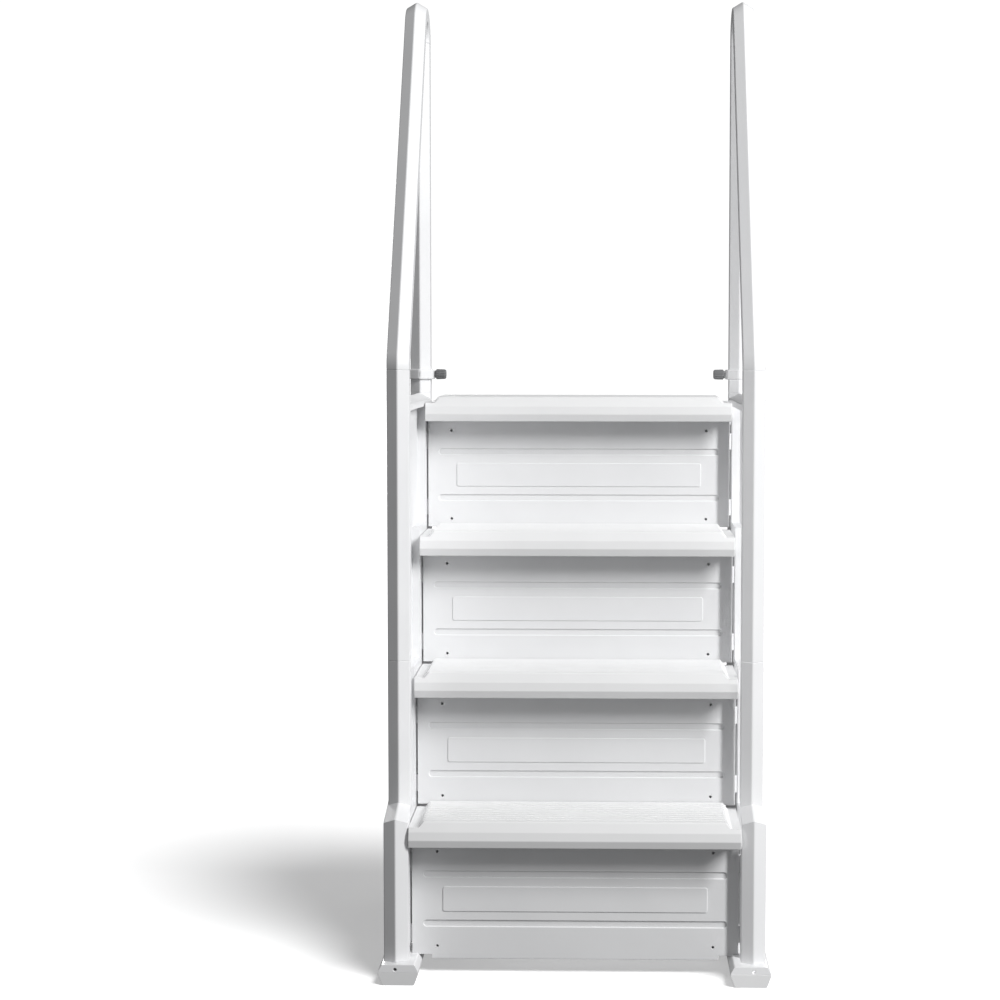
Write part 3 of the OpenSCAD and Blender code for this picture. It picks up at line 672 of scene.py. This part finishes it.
def tread():
    """Tread with its riser's face at Y = 0 and its top at Z = 0."""
    n = NOSE_OUT
    outer = rounded([(4 - n, -48.5, 1.6), (-n, -34.5, 5), (3 - n, -19.5, 3), (CROWN_Y, SKIN_Z, 4),
                     (TREAD_BACK, SKIN_Z, 1.6), (TREAD_BACK, UNDER_Z, 0.8), (14 - n, UNDER_Z, 0.8),
                     (12 - n, -48.5, 0.8)])
    body = prism(outer, round_ends(-TREAD_HALF, TREAD_HALF, 1.5), "x")
    inner = rounded([(8 - n, -60, 0), (4 - n, -34.5, 2), (8 - n, -21.5, 2), (CROWN_Y + 2, -5.5, 2),
                     (TREAD_BACK - 4, -5.5, 2), (TREAD_BACK - 4, -60, 0)])
    hollow = prism(inner, [(4 - TREAD_HALF, 0), (TREAD_HALF - 4, 0)], "x")
    steps = [("DIFFERENCE", hollow)]
    for x in UNDER_RIBS:
        rib = rounded([(14.2 - n, UNDER_Z + HAIR, 0), (6 - n, -34.5, 1), (9 - n, -24, 1),
                       (CROWN_Y + 2, -3.5, 1), (TREAD_BACK - 2, -3.5, 1),
                       (TREAD_BACK - 2, UNDER_Z + HAIR, 0)])
        steps.append(("UNION", prism(rib, [(x - 1.5, 0), (x + 1.5, 0)], "x")))
    for s in (-1, 1):
        x0, x1 = sorted((s * 286, s * (TREAD_HALF - 1.2)))
        steps.append(("UNION", block((x0, 30, UNDER_Z + HAIR), (x1, 104, -14), 1.0)))
        x0, x1 = sorted((s * (LEDGE_TOP_X - 4), s * (TREAD_HALF - 1.1)))
        floor_block = block((x0, -n, LEDGE_Z - 4), (x1, TREAD_BACK - 1.1, SKIN_Z - HAIR), 0.3)
        inside = prism(inset(outer, HAIR), [(-TREAD_HALF, 0), (TREAD_HALF, 0)], "x")
        steps.append(("UNION", carve(floor_block, [("INTERSECT", inside)])))
    # lowered ledges along both ends, with a slanted wall on the inner side
    slope = (LEDGE_LOW_X - LEDGE_TOP_X) / (SKIN_Z - LEDGE_Z)
    over = 10.0
    for s in (-1, 1):
        past = s * (TREAD_HALF + 5)
        section = rounded([(s * (LEDGE_TOP_X - slope * over), SKIN_Z + over, 0),
                           (s * LEDGE_LOW_X, LEDGE_Z, 2.0), (past, LEDGE_Z, 0), (past, SKIN_Z + over, 0)])
        steps.append(("DIFFERENCE", prism(section, [(-n - 5, 0), (TREAD_BACK + 5, 0)], "y")))
    # grip ribs, which run on down the slanted walls
    half_top, half_low = LEDGE_TOP_X + GRIP_OUT, LEDGE_LOW_X + GRIP_OUT
    root_z, foot_z = SKIN_Z - 2, LEDGE_Z - 0.5
    grip = rounded([(-half_top, 0, 1.6), (-half_low, foot_z, 0), (-half_low + 8, LEDGE_Z - 1, 0),
                    (4 - half_top, root_z, 0), (half_top - 4, root_z, 0), (half_low - 8, LEDGE_Z - 1, 0),
                    (half_low, foot_z, 0), (half_top, 0, 1.6)])
    for k in range(GRIPS):
        y = GRIP_FIRST + k * GRIP_PITCH
        levels = [(y, 0.9), (y + 0.3, 0.3), (y + 1, 0), (y + GRIP_W - 1, 0), (y + GRIP_W - 0.3, 0.3),
                  (y + GRIP_W, 0.9)]
        steps.append(("UNION", prism(grip, levels, "y")))
    return carve(body, steps)


# ---- risers ----
PLATE_HALF, PLATE_TALL = 244, 23.3               # half sizes of the raised rectangle
GROOVE_HALF, GROOVE_W, GROOVE_OFF = 280, 12, 46
DOT_X, DOT_Z, DOT_R = 254.5, 88.4, 2.5           # drain holes near the corners
POST_XS, POST_ZS = (-150, 0, 150), (-68, 68)
POST_R, DIMPLE_R = 10, 7


def stadium(half, tall, u, v):
    """Long outline with round ends."""
    r = tall / 2
    corner = r - 0.01
    return rounded([(u - half, v - r, corner), (u + half, v - r, corner), (u + half, v + r, corner),
                    (u - half, v + r, corner)], 8)


def riser():
    """Hollow riser panel with its face at Y = 0, below a tread top at Z = 0."""
    body = block((-RISER_HALF, 0, RISER_LOW), (RISER_HALF, RISER_DEPTH, RISER_TOP), 1.2)
    tongue = block((-265, 0.02, RISER_LOW - TONGUE), (265, 5, RISER_LOW + 3), 0.8)
    plate_low, plate_top = RISER_MID - PLATE_TALL, RISER_MID + PLATE_TALL
    plate = prism(rounded([(-PLATE_HALF, plate_low, 4), (PLATE_HALF, plate_low, 4),
                           (PLATE_HALF, plate_top, 4), (-PLATE_HALF, plate_top, 4)]),
                  [(2, 0), (-0.6, 0), (-1.1, 0.2), (-1.4, 0.6), (-PLATE_OUT, 1.2)], "y")
    tab_in, tab_out = 296, 310.5
    tabs = joined([block((min(s * tab_in, s * tab_out), TAB_FRONT, z - TAB_TALL),
                         (max(s * tab_in, s * tab_out), TAB_BACK, z + TAB_TALL), 0.6)
                   for s in (-1, 1) for z in TAB_HEIGHTS])
    posts = [(x, RISER_MID + z) for x in POST_XS for z in POST_ZS]
    inside = carve(block((4 - RISER_HALF, RISER_SKIN, RISER_LOW + 4),
                         (RISER_HALF - 4, RISER_DEPTH - RISER_BACK, RISER_TOP - 4), 0.5),
                   [("DIFFERENCE", prism(circle(x, z, POST_R), [(0, 0), (RISER_DEPTH, 0)], "y"))
                    for x, z in posts])
    back = RISER_DEPTH
    sink = [(back - 4, 1.5), (back - 3.5, 0.5), (back - 3, 0), (back - 0.5, 0), (back, -0.4),
            (back + 1, -0.4)]
    dimples = joined([prism(circle(x, z, DIMPLE_R), sink, "y") for x, z in posts])
    lip = [(-2, -1.25), (-0.04, -1.2), (0.15, -0.65), (0.45, -0.25), (1.0, 0), (1.9, 0), (2.3, 0.2),
           (2.5, 0.7)]
    grooves = joined([prism(stadium(GROOVE_HALF, GROOVE_W, 0, RISER_MID + s * GROOVE_OFF), lip, "y")
                      for s in (-1, 1)])
    dot = [(-1, -0.5), (-0.03, -0.45), (0.3, -0.1), (0.6, 0), (RISER_SKIN + 2, 0)]
    dots = joined([prism(circle(sx * DOT_X, RISER_MID + sz * DOT_Z, DOT_R, 24), dot, "y")
                   for sx in (-1, 1) for sz in (-1, 1)])
    return carve(body, [("UNION", tongue), ("UNION", plate), ("UNION", tabs), ("DIFFERENCE", inside),
                        ("DIFFERENCE", dimples), ("DIFFERENCE", grooves), ("DIFFERENCE", dots)])


# ---- screws ----
def cross(head_h, wide, deep, reach):
    """Steps that cut a cross recess into the top of a screw head."""
    return [("DIFFERENCE", block((-reach, -wide, head_h - deep), (reach, wide, head_h + 1), 0.15, "z")),
            ("DIFFERENCE", block((-wide, -reach, head_h - deep + HAIR), (wide, reach, head_h + 1),
                                 0.15, "z"))]


def pan_screw(head_r, head_h, shank_r, shank_len):
    """Pan-head screw pointing down -Z, its head standing on Z = 0, with a cross recess."""
    head = [(head_r, 0), (head_r, head_h * 0.35), (head_r * 0.94, head_h * 0.62),
            (head_r * 0.78, head_h * 0.86), (head_r * 0.5, head_h * 0.98), (0.05, head_h)]
    shank = [(0.3, -shank_len), (shank_r, -shank_len + 3), (shank_r, 0)]
    body = lathe(shank + head, 28)
    return carve(body, cross(head_h, head_r * 0.16, head_h * 0.7, head_r * 0.55))


def flat_screw(head_r, head_h, shank_r, shank_len):
    """Flat-head screw pointing down -Z, its head standing on Z = 0, with a cross recess."""
    profile = [(0.3, -shank_len), (shank_r, -shank_len + 3), (shank_r, 0), (head_r - 0.3, 0),
               (head_r, 0.3), (head_r, head_h - 0.35), (head_r - 0.12, head_h - 0.12),
               (head_r - 0.35, head_h), (0.05, head_h)]
    return carve(lathe(profile, 28), cross(head_h, 0.5, 1.2, 2.4))


def copies(bm, matrices):
    """The solid repeated at each matrix, as one mesh."""
    mesh = bpy.data.meshes.new("screw")
    bm.to_mesh(mesh)
    bm.free()
    whole = bmesh.new()
    for matrix in matrices:
        start = len(whole.verts)
        whole.from_mesh(mesh)
        whole.verts.ensure_lookup_table()
        bmesh.ops.transform(whole, matrix=matrix, verts=whole.verts[start:])
    bpy.data.meshes.remove(mesh)
    return whole


def rail_screws():
    outward = Matrix.Rotation(math.pi / 2, 4, "Y")
    inward = Matrix.Rotation(-math.pi / 2, 4, "Y")
    sunk = SCREW_HEAD + 0.05
    shank_r, shank_len = 2.0, 14.0
    right = [Matrix.Translation((x - sunk, y, z)) @ outward for x, y, z in SCREW_PLACES]
    left = [Matrix.Translation((sunk - x, y, z)) @ inward for x, y, z in SCREW_PLACES]
    return copies(flat_screw(SCREW_R, SCREW_HEAD, shank_r, shank_len), right + left)


def tread_screws():
    """Screws that come up through the cleats into the treads."""
    flip = Matrix.Rotation(math.pi, 4, "X")
    across, below, depths = 294, 58, (42, 92)
    head_r, head_h, shank_r, shank_len = 5.5, 3.2, 2.4, 30
    places = []
    for node in TREADS:
        face_y, top_z = tread_place(node)
        places += [(s * across, face_y + y, top_z - below) for s in (-1, 1) for y in depths]
    return copies(pan_screw(head_r, head_h, shank_r, shank_len),
                  [Matrix.Translation(p) @ flip for p in places])


# ---- assembly ----
for hand, left in (("l", True), ("r", False)):
    for shape, body, slot, material in (
            (foot_pad, "ladder", "pad_plastic", PAD_PLASTIC),
            (foot_shoe, "ladder", "frame_resin", FRAME_RESIN),
            (side_lower, "ladder", "frame_resin", FRAME_RESIN),
            (side_upper, "ladder", "frame_resin", FRAME_RESIN),
            (rail_loop, "ladder", "frame_resin", FRAME_RESIN),
            (rail_post, "ladder", "frame_resin", FRAME_RESIN),
            (clamp_collar, "collar_" + hand, "frame_resin", FRAME_RESIN),
            (clamp_knob, "knob_" + hand, "knob_plastic", KNOB_PLASTIC)):
        node = shape.__name__ + "_" + hand
        piece(node + "_look", mirrored(shape(), left), body, material, [node])

for node in TREADS:
    face_y, top_z = tread_place(node)
    shape = turned(tread(), Matrix.Translation((0, face_y, top_z)))
    piece(node + "_look", shape, "ladder", TREAD_RESIN, [node])
for node in RISERS:
    top_z = span(node)[0].z - RISER_LOW + TONGUE
    face_y = span(node)[0].y + PLATE_OUT
    shape = turned(riser(), Matrix.Translation((0, face_y, top_z)))
    piece(node + "_look", shape, "ladder", RISER_RESIN, [node])
piece("rail_screws_look", rail_screws(), "ladder", STAINLESS, ["rail_screws"])
piece("tread_screws_look", tread_screws(), "ladder", STAINLESS, ["tread_screws"])
for node, material in (("mid_couplers", FRAME_RESIN), ("post_couplers", FRAME_RESIN),
                       ("knob_stud_l", STAINLESS), ("knob_stud_r", STAINLESS)):
    mesh = frame["nodes"][node].data
    mesh.materials.clear()
    mesh.materials.append(material)


# ---- floor, backdrop, light and camera ----
FLOOR_HALF, DOME_R = 40, 38                      # metres, as all the places below
FLOOR_GLOW = 0.32                                # keeps the floor near white
DOME_GLOW = 1.05
SKY_SIDE = (0.62, -0.62, 0.3)                    # the sky is brightest towards here
SKY_DIM, SKY_BRIGHT = 0.06, 0.27
SKY_FROM, SKY_TO = -0.9, 0.8                     # where it is dim and where it is bright
KEY_TO = Vector((0.64, -0.52, 0.57))             # from the ladder to the key light
KEY_FAR = 6.0
KEY_W, KEY_H = 0.6, 3.0
KEY_POWER = 400
FILL_FROM, FILL_AIM = Vector((-2.2, -2.4, 1.1)), Vector((0.3, 0, 0.8))
FILL_W = 1.2
FILL_POWER = 30
REAR_ACROSS, REAR_BACK, REAR_UP = 0.3, 0.94, 0.1
REAR_W = 2.5
REAR_POWER = 190
SUN_TO = Vector((0.62, -0.6, 1.2))
SUN_SOFT = math.radians(28)
SUN_POWER = 3.3
CAM_FROM = Vector((0.064, -3.634, 1.161))        # from the lowest riser's face
CAM_SENSOR, CAM_LENS = 36, 72.0
CAM_SHIFT = (-0.076, -0.03)
CAM_YAW, CAM_TILT, CAM_ROLL = 0.996, 86.423, 0.075


def stage_mesh(name, bm, material):
    mesh = bpy.data.meshes.new(name)
    bm.to_mesh(mesh)
    bm.free()
    mesh.materials.append(material)
    obj = bpy.data.objects.new(name, mesh)
    bpy.context.scene.collection.objects.link(obj)
    return obj


def only(light, lit=(), blockers=()):
    """Limits a light to some receivers, and its shadows to some blockers."""
    if lit:
        group = bpy.data.collections.new(light.name + "_lit")
        for obj in lit:
            group.objects.link(obj)
        light.light_linking.receiver_collection = group
    if blockers:
        group = bpy.data.collections.new(light.name + "_blockers")
        for obj in blockers:
            group.objects.link(obj)
        light.light_linking.blocker_collection = group


def pale_floor():
    mat = bpy.data.materials.new("pale_floor")
    mat.use_nodes = True
    shader = mat.node_tree.nodes["Principled BSDF"]
    shader.inputs["Base Color"].default_value = (0.9, 0.9, 0.9, 1)
    shader.inputs["Roughness"].default_value = 0.9
    shader.inputs["Specular IOR Level"].default_value = 0.1
    shader.inputs["Emission Color"].default_value = (1, 1, 1, 1)
    shader.inputs["Emission Strength"].default_value = FLOOR_GLOW
    bm = bmesh.new()
    bmesh.ops.create_grid(bm, x_segments=2, y_segments=2, size=FLOOR_HALF)
    floor = stage_mesh("floor", bm, mat)
    floor.visible_diffuse = False
    floor.visible_glossy = False
    return floor


def white_dome():
    mat = bpy.data.materials.new("white_backdrop")
    mat.use_nodes = True
    nodes = mat.node_tree.nodes
    nodes.remove(nodes["Principled BSDF"])
    glow = nodes.new("ShaderNodeEmission")
    glow.inputs["Color"].default_value = (1, 1, 1, 1)
    glow.inputs["Strength"].default_value = DOME_GLOW
    mat.node_tree.links.new(glow.outputs["Emission"], nodes["Material Output"].inputs["Surface"])
    bm = bmesh.new()
    bmesh.ops.create_uvsphere(bm, u_segments=48, v_segments=24, radius=DOME_R)
    dome = stage_mesh("backdrop", bm, mat)
    dome.visible_diffuse = False
    dome.visible_glossy = False
    dome.visible_transmission = False
    dome.visible_shadow = False
    dome.visible_volume_scatter = False


def soft_world():
    """Sky that is brighter in front and on the right, and dim on the left and behind."""
    world = bpy.data.worlds.new("studio")
    bpy.context.scene.world = world
    world.use_nodes = True
    nodes, links = world.node_tree.nodes, world.node_tree.links
    back = nodes["Background"]
    place = nodes.new("ShaderNodeTexCoord")
    across = nodes.new("ShaderNodeVectorMath")
    across.operation = "DOT_PRODUCT"
    across.inputs[1].default_value = SKY_SIDE
    links.new(place.outputs["Generated"], across.inputs[0])
    ramp = nodes.new("ShaderNodeMapRange")
    ramp.interpolation_type = "SMOOTHSTEP"
    ramp.inputs["From Min"].default_value = SKY_FROM
    ramp.inputs["From Max"].default_value = SKY_TO
    ramp.inputs["To Min"].default_value = SKY_DIM
    ramp.inputs["To Max"].default_value = SKY_BRIGHT
    links.new(across.outputs["Value"], ramp.inputs["Value"])
    links.new(ramp.outputs["Result"], back.inputs["Strength"])
    back.inputs["Color"].default_value = (0.985, 0.99, 1.0, 1)


def lamp(name, kind, power, place, aim, **settings):
    light = bpy.data.lights.new(name, kind)
    light.energy = power
    for key, value in settings.items():
        setattr(light, key, value)
    obj = bpy.data.objects.new(name, light)
    bpy.context.scene.collection.objects.link(obj)
    obj.location = place
    obj.rotation_euler = (Vector(aim) - Vector(place)).to_track_quat("-Z", "Y").to_euler()
    return obj


def step_flags():
    """Unseen flags in the right side's steps, which shade the ends of the risers."""
    below, thick, leg_off, leg_w = 249, 4, 18, 30
    whole = []
    for node in TREADS[:3]:
        face_y, top_z = tread_place(node)
        front = face_y - RECESS_OFF + 1
        whole.append(block((INNER_X, front, top_z - below),
                           (INNER_X + RECESS + WEB, front + thick, top_z), 0.3))
    whole.append(block((INNER_X, FACE_Y - leg_off - thick, FOOT_TOP + 2),
                       (INNER_X + leg_w, FACE_Y - leg_off, LEG_TOP), 0.3))
    bm = joined(whole)
    bmesh.ops.transform(bm, matrix=Matrix.Scale(MM, 4), verts=bm.verts)
    flags = stage_mesh("flags", bm, PAD_PLASTIC)
    for kind in ("camera", "diffuse", "glossy", "transmission", "volume_scatter"):
        setattr(flags, "visible_" + kind, False)
    return flags


def camera(face):
    """Camera at a place measured from the lowest riser's face."""
    cam = bpy.data.cameras.new("camera")
    cam.sensor_width = CAM_SENSOR
    cam.lens = CAM_LENS
    cam.shift_x, cam.shift_y = CAM_SHIFT
    obj = bpy.data.objects.new("camera", cam)
    bpy.context.scene.collection.objects.link(obj)
    obj.matrix_world = (Matrix.Translation(face + CAM_FROM)
                        @ Matrix.Rotation(math.radians(CAM_YAW), 4, "Z")
                        @ Matrix.Rotation(math.radians(CAM_TILT), 4, "X")
                        @ Matrix.Rotation(math.radians(CAM_ROLL), 4, "Z"))
    bpy.context.scene.camera = obj


floor = pale_floor()
white_dome()
soft_world()
flags = step_flags()
pieces = [obj for obj in bpy.context.scene.objects if obj.name.endswith("_look")]
right = [obj for obj in pieces if obj.name.endswith("_r_look")]
others = [obj for obj in pieces if not obj.name.endswith("_r_look")]
face = Vector((0, FACE_Y * MM, 0))
aim = face + Vector((0, 0.1, 0.65))
key = lamp("key", "AREA", KEY_POWER, aim + KEY_TO * KEY_FAR, aim, shape="RECTANGLE",
           size=KEY_W, size_y=KEY_H)
only(key, lit=pieces, blockers=others + [flags])
fill = lamp("fill", "AREA", FILL_POWER, face + FILL_FROM, face + FILL_AIM, shape="DISK", size=FILL_W)
only(fill, lit=right)
for hand, across, lit in (("l", -REAR_ACROSS, others), ("r", REAR_ACROSS, right)):
    rear = lamp("rear_" + hand, "AREA", REAR_POWER,
                aim + Vector((across, REAR_BACK, REAR_UP)) * KEY_FAR, aim, shape="DISK", size=REAR_W)
    only(rear, lit=lit)
sun = lamp("floor_sun", "SUN", SUN_POWER, SUN_TO, (0, 0, 0), angle=SUN_SOFT)
only(sun, lit=[floor])
camera(face)
bpy.context.scene.view_settings.view_transform = "Standard"
